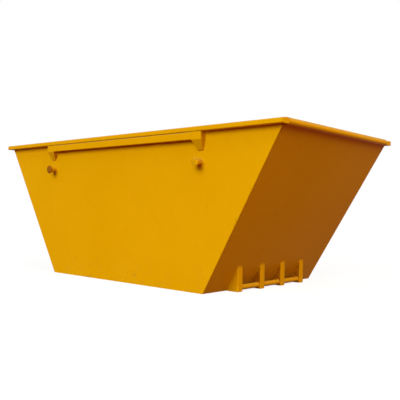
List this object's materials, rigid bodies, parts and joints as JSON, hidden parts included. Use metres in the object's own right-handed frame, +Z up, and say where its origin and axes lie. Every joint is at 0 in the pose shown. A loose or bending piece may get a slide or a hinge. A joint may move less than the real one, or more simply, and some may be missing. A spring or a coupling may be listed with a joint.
{
  "type": "builders skip",
  "caption": "Open steel waste skip with sloping ends, top rails, lifting pins on both sides and gusseted tipping bars at both ends.",
  "frame": {"origin": "on the ground, in the middle of the skip", "axes": "+X along the skip to its front end, +Y to its left side, +Z up"},
  "size_m": [3.674, 1.8424, 1.363],
  "materials": {
    "yellow_paint": "deep yellow gloss paint on welded steel sheet, with light scuffs along the rails and feet",
    "worn_steel": "steel worn bare by lifting chains, dark brown with a thin film of rust"
  },
  "bodies": {
    "root": {"floor_plate": "yellow_paint", "floor_runner_1": "yellow_paint", "floor_runner_2": "yellow_paint", "floor_runner_3": "yellow_paint", "floor_runner_4": "yellow_paint", "side_rail_left": "yellow_paint", "side_rail_right": "yellow_paint", "side_panel_left": "yellow_paint", "side_panel_right": "yellow_paint", "lug_channel_left": "yellow_paint", "lug_channel_right": "yellow_paint", "lug_bracket_left_front": "yellow_paint", "lug_pin_left_front": "yellow_paint", "lug_collar_left_front": "yellow_paint", "lug_pad_left_front": "yellow_paint", "lug_bracket_left_rear": "yellow_paint", "lug_pin_left_rear": "worn_steel", "lug_collar_left_rear": "worn_steel", "lug_pad_left_rear": "yellow_paint", "lug_bracket_right_front": "yellow_paint", "lug_pin_right_front": "yellow_paint", "lug_collar_right_front": "yellow_paint", "lug_pad_right_front": "yellow_paint", "lug_bracket_right_rear": "yellow_paint", "lug_pin_right_rear": "worn_steel", "lug_collar_right_rear": "worn_steel", "lug_pad_right_rear": "yellow_paint", "end_plate_front": "yellow_paint", "end_tube_front": "yellow_paint", "tube_cap_front_left": "yellow_paint", "tube_cap_front_right": "yellow_paint", "rail_cap_front_left": "yellow_paint", "rail_cap_front_right": "yellow_paint", "tipping_bar_front": "yellow_paint", "foot_gusset_front_1": "yellow_paint", "foot_gusset_front_2": "yellow_paint", "foot_gusset_front_3": "yellow_paint", "foot_gusset_front_4": "yellow_paint", "end_plate_rear": "yellow_paint", "end_tube_rear": "yellow_paint", "tube_cap_rear_left": "yellow_paint", "tube_cap_rear_right": "yellow_paint", "rail_cap_rear_left": "yellow_paint", "rail_cap_rear_right": "yellow_paint", "tipping_bar_rear": "yellow_paint", "foot_gusset_rear_1": "yellow_paint", "foot_gusset_rear_2": "yellow_paint", "foot_gusset_rear_3": "yellow_paint", "foot_gusset_rear_4": "yellow_paint"}
  },
  "joints": []
}
